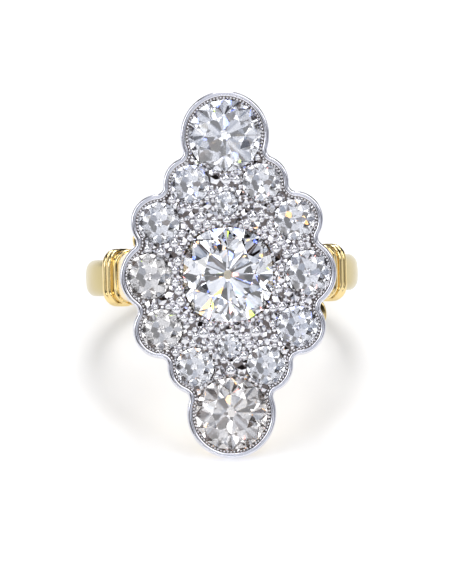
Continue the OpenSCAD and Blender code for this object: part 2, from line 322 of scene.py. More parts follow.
@dataclass(frozen=True)
class Metal(Finish):
    """A polished metal with fine scratches and soft unevenness."""

    roughness: float
    spread: float
    scratch: float

    def material(self) -> bpy.types.Material:
        """Builds the material.

        Returns:
            A Principled metal whose colour, roughness and bump vary finely.
        """
        made, cloud = self.clouded(600.0, 3.0)
        tree = made.node_tree
        shader = tree.nodes["Principled BSDF"]
        shader.inputs["Metallic"].default_value = 1.0
        place = tree.nodes.new("ShaderNodeTexCoord")
        stretch = add_node(tree, "ShaderNodeMapping", {"Scale": (1.0, 0.25, 1.0)})
        tree.links.new(place.outputs["Object"], stretch.inputs["Vector"])
        lines = add_node(tree, "ShaderNodeTexNoise", {"Scale": 9000.0, "Detail": 2.0})
        tree.links.new(stretch.outputs["Vector"], lines.inputs["Vector"])
        low, high = self.roughness - self.spread, self.roughness + self.spread
        rough = add_node(tree, "ShaderNodeMapRange", {"To Min": low, "To Max": high})
        tree.links.new(cloud.outputs["Fac"], rough.inputs["Value"])
        tree.links.new(rough.outputs["Result"], shader.inputs["Roughness"])
        bump = add_node(tree, "ShaderNodeBump", {"Strength": self.scratch, "Distance": 0.02 * MM})
        tree.links.new(lines.outputs["Fac"], bump.inputs["Height"])
        tree.links.new(bump.outputs["Normal"], shader.inputs["Normal"])
        return made


@dataclass(frozen=True)
class Diamond(Finish):
    """A clear cut stone with a faint body colour."""

    clarity: float = 1.0
    ior: float = 2.42

    def material(self) -> bpy.types.Material:
        """Builds the material.

        Returns:
            A clear Principled glass with a diamond's refraction and a slightly uneven body colour.
        """
        made, _ = self.clouded(900.0, 2.0)
        shader = made.node_tree.nodes["Principled BSDF"]
        shader.inputs["Transmission Weight"].default_value = self.clarity
        shader.inputs["IOR"].default_value = self.ior
        shader.inputs["Roughness"].default_value = 0.0
        return made


@dataclass(frozen=True)
class Seat:
    """Where a stone sits: its node, its centre and its half sizes, in millimetres."""

    node: str
    x: float
    y: float
    half_w: float
    half_l: float
    cushion: float
    girdle_z: float

    def edge(self, turn: float, gap: float) -> Vector:
        """A point beside the girdle at an angle in radians, a gap away from the stone."""
        share = 1 - self.cushion * math.cos(4 * turn)
        return Vector((
            self.x + (self.half_w * share + gap) * math.cos(turn),
            self.y + (self.half_l * share + gap) * math.sin(turn),
        ))

    def ring(self, gap: float, height: float, sides: int) -> list[Vector]:
        """A level section round the stone, a gap away from its girdle."""
        turns = [2 * math.pi * i / sides for i in range(sides)]
        return [self.edge(turn, gap).to_3d() + Vector((0, 0, height)) for turn in turns]

    def clear(self, x: float, y: float) -> float:
        """Distance from a point to the stone's edge, below 0 inside it."""
        dx, dy = x - self.x, y - self.y
        turn = math.atan2(dy / self.half_l, dx / self.half_w)
        edge = self.edge(turn, 0) - Vector((self.x, self.y))
        return math.hypot(dx, dy) - edge.length


def cone_round(seat: Seat, pavilion: float, gap: float, name: str) -> Piece:
    """A closed cone round a stone's pavilion, a gap away from it.

    Args:
        seat: The stone's seat.
        pavilion: The pavilion's depth as a share of the stone's half width.
        gap: Distance from the stone's facets.
        name: Name of the new piece.

    Returns:
        The cone, with its point down.
    """
    half = min(seat.half_w, seat.half_l)
    point_r, room_below, flare = 0.04, 1.3 * gap, 0.08
    low = seat.girdle_z - pavilion * half - room_below
    levels = [(point_r - half, low), (flare * half + gap, seat.girdle_z)]
    return loft(name, [seat.ring(g, z, sides=48) for g, z in levels], capped=True)


def read_seat(node: str) -> Seat:
    """Measures a stone's CAD node in the ring's own frame.

    Args:
        node: Name of the stone's node.

    Returns:
        Its seat.
    """
    back = LAY.inverted()
    points = [back @ v.co for v in frame["nodes"][node].data.vertices]
    low = [min(p[i] for p in points) for i in range(3)]
    high = [max(p[i] for p in points) for i in range(3)]
    x, y = (low[0] + high[0]) / 2, (low[1] + high[1]) / 2
    half_w, half_l = high[0] - x, high[1] - y
    at_edge = [p for p in points if abs(abs(p.x - x) - half_w) < MM]
    corner = max(math.hypot(p.x - x, p.y - y) for p in points)
    flat = (half_w + half_l) / 2
    cushion = (corner / flat - 1) / (corner / flat + 1)
    share = 1 - cushion
    return Seat(node, x, y, half_w / share, half_l / share, cushion, at_edge[0].z)


@dataclass(frozen=True)
class Outline:
    """The head's outline: lobes joined by small hollows, in millimetres."""

    length: float = 26.1
    width: float = 15.4
    rim: float = 0.45
    lobe_gap: float = 0.12
    waist_lobe: float = 2.6
    hollow: float = 0.5
    step: float = 4.5

    def lobes(self, seats: dict[str, Seat]) -> list[tuple[Vector, float]]:
        """The lobes of the upper right quarter.

        Args:
            seats: The stones' seats by node name.

        Returns:
            Each lobe's centre and radius, from the tip to the waist.
        """
        around = self.lobe_gap + self.rim
        tip, inner, outer = (
            seats[n] for n in ("top_stone", "upper_inner_right_stone", "upper_outer_right_stone"))
        tip_r = round(self.length / 2 - tip.y, 3)
        return [
            (Vector((0, tip.y)), tip_r),
            (Vector((inner.x, inner.y)), inner.half_w + around),
            (Vector((outer.x, outer.y)), outer.half_w + around),
            (Vector((self.width / 2 - self.waist_lobe, 0)), self.waist_lobe),
        ]

    def hollow_centre(self, first: tuple[Vector, float], second: tuple[Vector, float]) -> Vector:
        """Centre of the hollow that touches two neighbouring lobes from outside."""
        ra, rb = second[1] + self.hollow, first[1] + self.hollow
        gap = first[0] - second[0]
        along = (ra * ra - rb * rb + gap.length_squared) / (2 * gap.length)
        off = math.sqrt(ra * ra - along * along)
        unit = gap.normalized()
        return second[0] + along * unit + off * Vector((unit.y, -unit.x))


class HeadOutline:
    """Points round the head's outline, worked out once and moved in or out as asked."""

    def __init__(self, sizes: Outline, seats: dict[str, Seat]) -> None:
        """Works out the upper right quarter's arcs.

        Args:
            sizes: The outline's sizes.
            seats: The stones' seats by node name.
        """
        lobes = sizes.lobes(seats)
        hollows = [sizes.hollow_centre(a, b) for a, b in zip(lobes, lobes[1:])]
        quarter: list[tuple[Vector, float, float, float]] = []
        for i, (centre, radius) in enumerate(lobes):
            start = 90.0 if i == 0 else self.heading(centre, hollows[i - 1])
            end = 0.0 if i == len(lobes) - 1 else self.heading(centre, hollows[i])
            quarter += self.arc(centre, radius, start, end, -1, sizes.step)[bool(i):]
            if i < len(lobes) - 1:
                h = hollows[i]
                turn_in, turn_out = self.heading(h, centre), self.heading(h, lobes[i + 1][0])
                turn_out += 360 if turn_out < turn_in else 0
                quarter += self.arc(h, sizes.hollow, turn_in, turn_out, 1, sizes.step)[1:]
        self.quarter = quarter

    @staticmethod
    def heading(start: Vector, end: Vector) -> float:
        """Direction from one point to another, in degrees."""
        return math.degrees(math.atan2(end.y - start.y, end.x - start.x))

    @staticmethod
    def arc(c: Vector, r: float, start: float, end: float, side: int, step: float) -> list:
        """Arc points as (centre, radius, angle in radians, what an inset does to the radius)."""
        n = max(2, math.ceil(abs(end - start) / step))
        return [(c, r, math.radians(start + (end - start) * i / n), side) for i in range(n + 1)]

    def quarter_points(self, inset: float) -> list[Vector]:
        """The upper right quarter's points, moved inwards by an inset."""
        return [
            c + (r + side * inset) * Vector((math.cos(a), math.sin(a)))
            for c, r, a, side in self.quarter
        ]

    def wall(self, inset: float) -> Wall:
        """The upper right quarter's points at an inset, each with its way outwards."""
        out = [-side * Vector((math.cos(a), math.sin(a))) for _, _, a, side in self.quarter]
        return list(zip(self.quarter_points(inset), out))

    def loop(self, inset: float) -> list[Vector]:
        """All the points round the head, clockwise from the tip."""
        q = self.quarter_points(inset)
        back = q[::-1]
        return (
            q + [Vector((p.x, -p.y)) for p in back[1:]] + [Vector((-p.x, -p.y)) for p in q[1:]]
            + [Vector((-p.x, p.y)) for p in back[1:-1]]
        )

    def ring(self, inset: float, height: float | Callable[[Vector], float]) -> list[Vector]:
        """A section of the head's wall at an inset, at one height or one that follows the place."""
        lift = height if callable(height) else lambda p: height
        return [Vector((p.x, p.y, lift(p))) for p in self.loop(inset)]

    def spaced(self, inset: float, pitch: float) -> list[Vector]:
        """Points at an even pitch along the outline.

        Args:
            inset: Distance inside the outline.
            pitch: Distance that is wanted between neighbours.

        Returns:
            The points, as many as fit a whole number of pitches.
        """
        loop = self.loop(inset)
        loop.append(loop[0])
        reach = [0.0]
        for a, b in zip(loop, loop[1:]):
            reach.append(reach[-1] + (b - a).length)
        count = round(reach[-1] / pitch)
        points, leg = [], 0
        for i in range(count):
            along = reach[-1] * i / count
            while reach[leg + 1] < along:
                leg += 1
            share = (along - reach[leg]) / (reach[leg + 1] - reach[leg])
            points.append(loop[leg].lerp(loop[leg + 1], share))
        return points


@dataclass
class HeadSetting:
    """The platinum plate with its rim, seats, millegrain edge, grains and beads."""

    outline: HeadOutline
    seats: list[Seat]
    plate_z: float = 11.25
    field_z: float = 12.2
    rim_z: float = 12.65
    seat_gap: float = 0.05
    pavilion: float = 0.86
    smallest_hole: float = 0.4
    girdle_share: float = 0.05
    cup_x: float = 4.0
    cup_wall: float = 0.06
    rim_inset: float = 0.545
    # Inset inside which the plate's low faces get painted shade.
    painted_shade_inset: float = 0.36
    bead_inset: float = 0.455
    bead_r: float = 0.095
    bead_pitch: float = 0.24
    bead_z: float = 12.5
    grain_r: tuple[float, float] = (0.24, 0.44)
    grain_min: float = 0.12
    grain_lap: float = 0.06
    grain_share: float = 0.78
    grain_step: float = 0.06
    grain_patch: int = 6
    quarter: tuple[float, float] = (7.4, 12.6)
    cut_share: float = 0.5
    big_grains: tuple[Three, ...] = (
        (0, 6.8, 0.46), (1.85, 4.1, 0.48), (3.75, 2.35, 0.4))

    def profile(self) -> list[tuple[float, float]]:
        """The wall's section from the plate's underside over the rim to the field.

        Returns:
            Each point's inset and height.
        """
        top = self.rim_z
        return [
            (0.35, self.plate_z), (0.1, self.plate_z), (0.03, self.plate_z + 0.03),
            (0.0, self.plate_z + 0.1), (0.0, top - 0.24), (0.012, top - 0.13), (0.04, top - 0.065),
            (0.085, top - 0.025), (0.15, top - 0.004), (0.24, top), (0.32, top - 0.012),
            (0.365, top - 0.05), (0.38, self.bead_z - 0.03), (0.5, self.bead_z - 0.05),
            (0.53, self.bead_z - 0.12), (self.rim_inset, self.field_z),
        ]

    def build_plate(self) -> Piece:
        """Models the plate and rim, and cuts the stones' seats.

        Returns:
            The plate, whose faces between the stones take its second material, a darker copy of the
            platinum that is painted shade in the recesses.
        """
        rings = [self.outline.ring(inset, height) for inset, height in self.profile()]
        plate = loft("head_plate", rings, capped=True)
        cut(plate, join([self.seat_cutter(s) for s in self.seats], "seats"))
        apply_modifier(plate, "TRIANGULATE", ngon_method="BEAUTY")
        merge_slivers(plate)
        smooth(plate)
        wall = self.outline.wall(0)
        lowest, highest = self.plate_z + 0.2, self.rim_z - 0.09
        # Low faces inside the rim (the field, the seat walls and the ledge under the millegrain)
        # take the darker platinum, which is painted shade.
        for face in plate.data.polygons:
            x, y, z = face.center
            painted_shade_face = lowest < z < highest and self.inset(x, y, wall) > self.painted_shade_inset
            face.material_index = int(painted_shade_face)
        return plate

    @staticmethod
    def inset(x: float, y: float, wall: Wall) -> float:
        """Distance from a point inwards of a wall, given as one quarter of it."""
        place = Vector((abs(x), abs(y)))
        near, normal = min(wall, key=lambda w: (place - w[0]).length_squared)
        return (near - place).dot(normal)

    def seat_cutter(self, seat: Seat) -> Piece:
        """A stone's seat as a solid: a well, a cone beside the pavilion and an open hole.

        Args:
            seat: The stone's seat.

        Returns:
            The solid to cut from the plate.
        """
        half = min(seat.half_w, seat.half_l)
        depth = self.pavilion * half
        ledge = seat.girdle_z - self.girdle_share * half - self.seat_gap
        hole = half * max(1 - (seat.girdle_z - self.plate_z) / depth, self.smallest_hole)
        cone = depth * (1 - hole / half)
        levels = [
            (hole - half, self.plate_z - 1), (hole - half, ledge - cone),
            (self.seat_gap, ledge), (self.seat_gap, self.rim_z + 1),
        ]
        return loft("seat", [seat.ring(gap, z, sides=64) for gap, z in levels], capped=True)

    def build_collets(self) -> Piece:
        """Models the thin cups under the stones that reach below the plate.

        Returns:
            The cups, joined.
        """
        cups = []
        for seat in self.seats:
            if abs(seat.x) < self.cup_x:
                continue
            cup = cone_round(seat, self.pavilion, self.seat_gap + self.cup_wall, "collet")
            cut(cup, cone_round(seat, self.pavilion, self.seat_gap, "room"))
            half = min(seat.half_w, seat.half_l)
            bpy.ops.mesh.primitive_cube_add(
                size=4 * half, location=(seat.x, seat.y, self.plate_z - OPEN_GAP + 2 * half))
            cut(cup, added("above"))
            cups.append(cup)
        collets = join(cups, "collets")
        smooth(collets)
        return collets

    def build_millegrain(self) -> Piece:
        """Models the row of tiny beads along the rim's inner edge."""
        places = self.outline.spaced(self.bead_inset, self.bead_pitch)
        beads = self.balls([(p.x, p.y, self.bead_z, self.bead_r) for p in places], Ball.SMALL)
        return join(beads, "millegrain")

    @staticmethod
    def balls(places: list[Place], kind: Ball) -> list[Piece]:
        """Models one ball and copies it to each place.

        Args:
            places: Each ball's x, y, z and radius.
            kind: How the ball is modelled.

        Returns:
            The balls.
        """
        if kind is Ball.SMALL:
            bpy.ops.mesh.primitive_uv_sphere_add(segments=10, ring_count=6, radius=1)
        else:
            fineness = 1 if kind is Ball.FACETED else 3
            bpy.ops.mesh.primitive_ico_sphere_add(subdivisions=fineness, radius=1)
        ball = added("ball")
        if kind is not Ball.FACETED:
            bpy.ops.object.shade_smooth()
        made = [
            copied(ball, Matrix.Translation((x, y, z)) @ Matrix.Scale(r, 4))
            for x, y, z, r in places
        ]
        bpy.data.objects.remove(ball)
        return made

    def free_room(self, x: float, y: float, wall: Wall) -> float:
        """Distance from a point of the upper right quarter to the nearest stone or to the rim."""
        room = min(s.clear(x, y) for s in self.seats if min(s.x, s.y) > -SLIVER)
        if room < self.grain_min:
            return room
        return min(room, self.inset(x, y, wall))

    def grain_places(self) -> list[Three]:
        """Packs grains between the stones, the large beads first and then the largest that fit.

        Returns:
            Each grain's x, y and radius, over the whole head.
        """
        wall = self.outline.wall(self.rim_inset)
        step, found = self.grain_step, []
        least, most = self.grain_r
        columns, rows = (int(size / step) for size in self.quarter)
        for i in range(columns):
            for j in range(rows):
                x, y = i * step, j * step
                patch = 7.3 * (i // self.grain_patch) + 3.1 * (j // self.grain_patch)
                cap = least + (most - least) * spread(patch) ** 1.5
                r = min(cap, self.free_room(x, y, wall) + self.grain_lap)
                if r >= self.grain_min and (i == 0 or x > r) and (j == 0 or y > r):
                    found.append((r, x, y))
        found.sort(reverse=True)
        kept = list(self.big_grains)
        for r, x, y in found:
            if all(math.hypot(x - a, y - b) > self.grain_share * (r + s) for a, b, s in kept):
                kept.append((x, y, r))
        signs = ((1, 1), (-1, 1), (1, -1), (-1, -1))
        return [
            (sx * x, sy * y, r) for x, y, r in kept for sx, sy in signs
            if (x or sx > 0) and (y or sy > 0)
        ]

    def build_grains(self) -> list[Piece]:
        """Models the polished grains and the bright-cut ones between them.

        Returns:
            The round grains and the cut ones, each kind joined.
        """
        places = [(x, y, self.field_z, r) for x, y, r in self.grain_places()]
        log.info("grains: %d", len(places))
        big = {round(r, 3) for _, _, r in self.big_grains}
        sorted_places: dict[Ball, list[Place]] = {kind: [] for kind in Ball}
        for i, place in enumerate(places):
            small = Ball.SMALL if spread(i * 1.7) > self.cut_share else Ball.FACETED
            sorted_places[Ball.LARGE if round(place[3], 3) in big else small].append(place)
        round_ones = self.balls(sorted_places[Ball.SMALL], Ball.SMALL)
        round_ones += self.balls(sorted_places[Ball.LARGE], Ball.LARGE)
        cut_ones = self.balls(sorted_places[Ball.FACETED], Ball.FACETED)
        for i, grain in enumerate(cut_ones):
            mesh = grain.data
            middle = sum((v.co for v in mesh.vertices), Vector()) / len(mesh.vertices)
            axis = Vector((spread(i), spread(i + 9.1), 1))
            spin = Matrix.Rotation(6.28 * spread(i + 0.3), 4, axis)
            mesh.transform(Matrix.Translation(middle) @ spin @ Matrix.Translation(-middle))
        return [join(round_ones, "grains"), join(cut_ones, "cut_grains")]

    def build(self) -> None:
        """Builds and dresses the setting's pieces."""
        metal = Metal("platinum", (0.78, 0.78, 0.84), (0.68, 0.68, 0.74), 0.17, 0.05, 0.07)
        # A darker copy of the platinum: painted shade for the plate's recesses between the stones,
        # in the seats and under the millegrain.
        painted_shade = Metal("painted_shade_platinum", (0.34, 0.31, 0.3), (0.14, 0.11, 0.1), 0.22, 0.1, 0.6)
        # A lighter copy of the platinum: painted light, so that the beads, the grains and the cups
        # read brighter than the plate.
        grains = Metal("painted_light_platinum", (0.86, 0.86, 0.89), (0.7, 0.69, 0.71), 0.06, 0.03, 0.15)
        both = metal.material(), painted_shade.material()
        finish(self.build_plate(), Slot.PLATINUM, "head_setting", *both)
        bright = grains.material()
        for piece in (self.build_collets(), self.build_millegrain(), *self.build_grains()):
            finish(piece, Slot.PLATINUM, "head_setting", bright)


@dataclass(frozen=True)
class Station:
    """A section across the band or a shoulder, between two points of the XZ plane."""

    inner: Vector
    outer: Vector
    width: float
    edge: float
    crown: float
    bend: float

    def ring(self) -> list[Vector]:
        """Points round the section, a bar with rounded outer edges and a crowned face.

        Returns:
            The points, in order.
        """
        thick = (self.outer - self.inner).length
        out = (self.outer - self.inner) / thick
        tangent = Vector((-out.y, out.x))
        half, wide, soft, steps = self.width / 2, self.edge, 0.12, 6
        turns = [math.pi / 2 * i / steps for i in range(steps + 1)]
        edge = [(half - wide * (1 - math.cos(t)), thick - wide * (1 - math.sin(t))) for t in turns]
        foot = [(half - soft * (1 - math.cos(t)), soft * (1 - math.sin(t))) for t in turns[::-1]]
        face = [(edge[-1][0] * (1 - i / steps), thick) for i in range(1, 2 * steps)]
        right = foot + edge
        left = [(-v, d) for v, d in right[::-1]]
        points = []
        for v, d in right + face + left:
            sag = 0.0
            if self.crown and d > thick / 2:
                deepest = self.crown - math.sqrt(self.crown ** 2 - v * v)
                sag = deepest * (d - thick / 2) / (thick / 2)
            place = self.inner + out * (d - sag) + tangent * self.bend * (v / half) ** 2
            points.append(Vector((place.x, v, place.y)))
        return points


@dataclass
class Shank:
    """The gold band, the shoulders with their ridges, and the pierced gallery with its posts."""

    outline: HeadOutline
    seats: dict[str, Seat]
    pavilion: float = 0.86
    point_gap: float = 0.13
    finger_r: float = 8.65
    band_t: float = 1.4
    band_w: float = 2.65
    band_edge: float = 0.65
    crown: float = 5.0
    shoulder_t: float = 1.7
    shoulder_w: float = 3.7
    shoulder_edge: float = 0.95
    shoulder_top_t: float = 2.1
    ridge_angle: float = 33.6
    ridge_r: float = 0.25
    ridge_pitch: float = 0.52
    thin_ridge_r: float = 0.17
    thin_ridge_drop: float = 3.3
    valley: float = 0.16
    ridge_bend: float = 0.25
    hug_angle: float = 17.0
    hug_share: float = 0.35
    crest_x: float = 7.35
    top_z: float = 11.23
    gallery_z: float = 8.95
    gallery_inset: float = 0.25
    gallery_wall: float = 0.85
    keel_flat: float = 7.3
    keel_slope: float = 0.377
    arch_r: float = 0.6
    arch_headings: tuple[float, ...] = (42, 38, 22)
    arch_reach: tuple[float, float] = (0.4, 4.2)
    rail_h: float = 0.5
    posts: tuple[Three, ...] = ((-5.6, 2.67, 1.1), (5.5, -2.95, 1.5))
    post_stones: tuple[str, str] = ("upper_outer_left_stone", "lower_outer_right_stone")
    slit_w: float = 0.25
    slit_l: float = 1.6
    slit_angle: float = -35

    @staticmethod
    def polar(radius: float, degrees: float) -> Vector:
        """A point of the XZ plane at a radius and an angle above the line across the ring."""
        turn = math.radians(degrees)
        return Vector((radius * math.cos(turn), radius * math.sin(turn)))

    def collar_stations(self) -> list[Station]:
        """Sections through the two ridges at the shoulder's foot.

        Returns:
            The sections, from the band upwards.
        """
        r = self.finger_r + self.shoulder_t
        made = []
        for centre in (0.0, self.ridge_pitch):
            for turn in range(-90, 91, 15):
                s = centre + self.ridge_r * math.sin(math.radians(turn))
                bump = self.ridge_r * math.cos(math.radians(turn))
                angle = self.ridge_angle + math.degrees(s / r)
                made.append(Station(
                    self.polar(self.finger_r, angle), self.polar(r + bump, angle),
                    self.shoulder_w + 2 * bump, self.shoulder_edge + bump, 0, 0))
        return made

    def flare_stations(self) -> list[Station]:
        """Sections from the ridges up to the head, with a thin curved ridge and a valley below it.

        Returns:
            The sections, from the ridges upwards.
        """
        r = self.finger_r + self.shoulder_t
        start = self.ridge_angle + math.degrees((self.ridge_pitch + self.ridge_r) / r)
        foot, crest = self.polar(r, start), Vector((self.crest_x, self.top_z))
        rise = (crest - foot).length
        normal = Vector((crest.y - foot.y, foot.x - crest.x)).normalized()
        turn_at = self.polar(self.finger_r, start + self.hug_angle)
        top_in = crest - Vector((self.shoulder_top_t, 0))
        thin = rise - self.thin_ridge_drop
        steps = {rise * i / 24 for i in range(25)}
        steps |= {thin + self.thin_ridge_r * math.sin(math.radians(t)) for t in range(-90, 91, 15)}
        made = []
        for s in sorted(steps):
            share = s / rise
            hug = min(share / self.hug_share, 1)
            inner = self.polar(self.finger_r, start + self.hug_angle * hug)
            if share > self.hug_share:
                inner = turn_at.lerp(top_in, (share - self.hug_share) / (1 - self.hug_share))
            away = abs(s - thin)
            bump = math.sqrt(max(self.thin_ridge_r ** 2 - away ** 2, 0))
            dip = self.valley * math.sin(math.pi * min(s / thin, 1)) if s < thin else 0
            outer = foot.lerp(crest, share) + normal * (bump - dip)
            bend = self.ridge_bend * min(s / thin, (rise - s) / (rise - thin))
            width = self.shoulder_w + 2 * (bump - 0.5 * dip)
            made.append(Station(inner, outer, width, self.shoulder_edge + bump, 0, bend))
        return made

    def build_band(self) -> Piece:
        """Models half of the band with its shoulder, and mirrors it.

        Returns:
            The band with both shoulders.
        """
        r = self.finger_r + self.band_t
        step_angle = 0.1
        ridge_half = math.degrees(self.ridge_r / (self.finger_r + self.shoulder_t))
        foot = self.ridge_angle - step_angle - ridge_half
        count = 44
        angles = [-90 + (foot + 90) * i / count for i in range(count + 1)]
        stations = [
            Station(self.polar(self.finger_r, a), self.polar(r, a),
                    self.band_w, self.band_edge, self.crown, 0)
            for a in angles
        ]
        stations += self.collar_stations() + self.flare_stations()
        band = loft("band_and_shoulders", [s.ring() for s in stations], capped=True)
        waist = self.seats["waist_right_stone"]
        cut(band, cone_round(waist, self.pavilion, self.point_gap, "point_hollow"))
        self.open_middle(band)
        apply_modifier(band, "MIRROR", use_axis=(True, False, False), merge_threshold=0.001)
        outward(band)
        smooth(band, 50)
        return band

    @staticmethod
    def open_middle(band: Piece) -> None:
        """Deletes the face in the plane of symmetry, where the two halves meet."""
        with editing(band, "DESELECT"):
            mesh = bmesh.from_edit_mesh(band.data)
            for face in mesh.faces:
                face.select = all(abs(v.co.x) < SAME for v in face.verts)
            bmesh.update_edit_mesh(band.data)
            bpy.ops.mesh.delete(type="FACE")

    def underside(self, place: Vector) -> float:
        """Height of the gallery's underside, which rises towards the tips."""
        return self.gallery_z + max(abs(place.y) - self.keel_flat, 0) * self.keel_slope

    def build_gallery(self) -> Piece:
        """Models the gallery's wall and cuts its arches.

        Returns:
            The gallery.
        """
        out, inn, soft = self.gallery_inset, self.gallery_inset + self.gallery_wall, 0.1
        low, mid = self.underside, 0.3 * soft
        sections = [
            (out, self.top_z), (out, lambda p: low(p) + soft), (out + mid, lambda p: low(p) + mid),
            (out + soft, low), (inn - soft, low), (inn - mid, lambda p: low(p) + mid),
            (inn, lambda p: low(p) + soft), (inn, self.top_z), (out, self.top_z),
        ]
        gallery = loft("gallery", [self.outline.ring(i, z) for i, z in sections], capped=False)
        cut(gallery, join(self.arch_cutters(), "arches"))
        apply_modifier(gallery, "TRIANGULATE", ngon_method="BEAUTY")
        merge_slivers(gallery)
        smooth(gallery)
        return gallery

    def arch_cutters(self) -> list[Piece]:
        """Models arch-topped windows through the wall of each lobe, in all four quarters.

        Returns:
            The solids to cut from the gallery.
        """
        centres: list[Vector] = []
        for centre, _, _, side in self.outline.quarter:
            if side < 0 and all((centre - other).length > SAME for other in centres):
                centres.append(centre)
        sill, r, sides = self.gallery_z + self.rail_h, self.arch_r, 24
        crown = self.top_z - self.rail_h - r
        turns = [math.pi * i / sides for i in range(sides + 1)]
        shape = [(-r, sill), (r, sill)]
        shape += [(r * math.cos(t), crown + r * math.sin(t)) for t in turns]
        made = []
        for centre, heading in zip(centres, self.arch_headings):
            way = self.polar(1, heading)
            side = Vector((-way.y, way.x))
            rings = [
                [(centre + way * reach + side * a).to_3d() + Vector((0, 0, z)) for a, z in shape]
                for reach in self.arch_reach
            ]
            arch = loft("arch", rings, capped=True)
            for sx in (1, -1):
                for sy in (1, -1):
                    twin = copied(arch, Matrix.Diagonal((sx, sy, 1, 1)))
                    outward(twin)
                    made.append(twin)
            bpy.data.objects.remove(arch)
        return made

    def build_posts(self) -> Piece:
        """Models the two slit posts that show beside the waist.

        Returns:
            The posts, joined.
        """
        made, middle = [], (self.top_z + self.gallery_z) / 2
        height = self.top_z - self.gallery_z
        for (x, y, radius), stone in zip(self.posts, self.post_stones):
            bpy.ops.mesh.primitive_cylinder_add(
                vertices=64, radius=radius, depth=height, location=(x, y, middle))
            post = added("post")
            bpy.ops.object.transform_apply(location=True)
            apply_modifier(post, "BEVEL", width=0.12, segments=3, limit_method="ANGLE")
            bpy.ops.mesh.primitive_cube_add(
                size=1, location=(x, y, middle), rotation=(math.radians(self.slit_angle), 0, 0),
                scale=(3 * radius, self.slit_w, self.slit_l))
            slit = added("slit")
            bpy.ops.object.transform_apply(location=True, rotation=True, scale=True)
            cut(post, slit)
            cut(post, cone_round(self.seats[stone], self.pavilion, self.point_gap, "point_hollow"))
            made.append(post)
        posts = join(made, "gallery_posts")
        smooth(posts)
        return posts

    def build(self) -> None:
        """Builds and dresses the shank's pieces."""
        # The band's gold has a satin roughness. Its darker colour is a copy of the shoulders' gold,
        # painted shade that tones down the band's bright reflection.
        satin_and_painted_shade = Metal("pale_gold", (0.6, 0.5, 0.25), (0.53, 0.43, 0.2), 0.22, 0.05, 0.12)
        polished = Metal("rich_gold", (0.94, 0.78, 0.44), (0.78, 0.57, 0.21), 0.09, 0.04, 0.06)
        pale, rich = satin_and_painted_shade.material(), polished.material()
        band = self.build_band()
        foot = math.radians(self.ridge_angle) - (self.ridge_r + OPEN_GAP) / self.finger_r
        # Faces below the ridges' foot take the darker band gold, which is painted shade. The ridges
        # and shoulders above take the rich gold.
        for face in band.data.polygons:
            face.material_index = int(math.atan2(face.center.z, abs(face.center.x)) > foot)
        finish(band, Slot.GOLD, "shank", pale, rich)
        for piece in (self.build_gallery(), self.build_posts()):
            finish(piece, Slot.GOLD, "shank", rich)


@dataclass
class Stones:
    """The cut stones, which keep their CAD solids and get a clear material."""

    nodes: list[str]
    clear_nodes: tuple[str, ...] = ("centre_stone",)
    warm_nodes: tuple[str, ...] = ("bottom_stone", "waist_left_stone", "lower_outer_left_stone")

    def dress(self) -> None:
        """Gives each stone its material."""
        clear = Diamond("diamond", (0.93, 0.94, 0.975), (0.87, 0.885, 0.95)).material()
        soft = Diamond("soft_diamond", (0.92, 0.93, 0.965), (0.86, 0.875, 0.94), 0.94).material()
        warm = Diamond("warm_diamond", (0.9, 0.885, 0.89), (0.84, 0.815, 0.8), 0.93).material()
        for name in self.nodes:
            stone = frame["nodes"][name]
            stone.data.materials.clear()
            rest = warm if name in self.warm_nodes else soft
            stone.data.materials.append(clear if name in self.clear_nodes else rest)
            log.info("%s: dressed", name)


@dataclass(frozen=True)
class SoftBox:
    """A soft rectangular light that looks at the ring."""

    name: str
    azimuth: float
    elevation: float
    distance: float
    size: tuple[float, float]
    power: float
    colour: Three = (1.0, 1.0, 1.0)
    casters: tuple[str, ...] = ()
    lit: tuple[str, ...] = ()

    def build(self, target: Vector) -> None:
        """Adds the light.

        Args:
            target: The point that it looks at.
        """
        data = bpy.data.lights.new(self.name, "AREA")
        data.shape = "RECTANGLE"
        data.size, data.size_y = self.size
        data.energy = self.power
        data.color = self.colour
        lamp = bpy.data.objects.new(self.name, data)
        back = direction(self.azimuth, self.elevation)
        lamp.location = target + back * self.distance
        lamp.rotation_euler = back.to_track_quat("Z", "Y").to_euler()
        bpy.context.collection.objects.link(lamp)
        if self.casters:
            lamp.light_linking.blocker_collection = group(self.name + "_casters", self.casters)
        if self.lit:
            lamp.light_linking.receiver_collection = group(self.name + "_lit", self.lit)


def group(name: str, pieces: tuple[str, ...]) -> bpy.types.Collection:
    """A collection of pieces by name, for a light's shadows or targets."""
    made = bpy.data.collections.new(name)
    for piece in pieces:
        made.objects.link(bpy.data.objects[piece])
    return made


def direction(azimuth: float, elevation: float) -> Vector:
    """The way from the ring to a viewer, for an azimuth and an elevation in degrees."""
    a, e = math.radians(azimuth), math.radians(elevation)
    return Vector((math.sin(a) * math.cos(e), -math.cos(a) * math.cos(e), math.sin(e)))


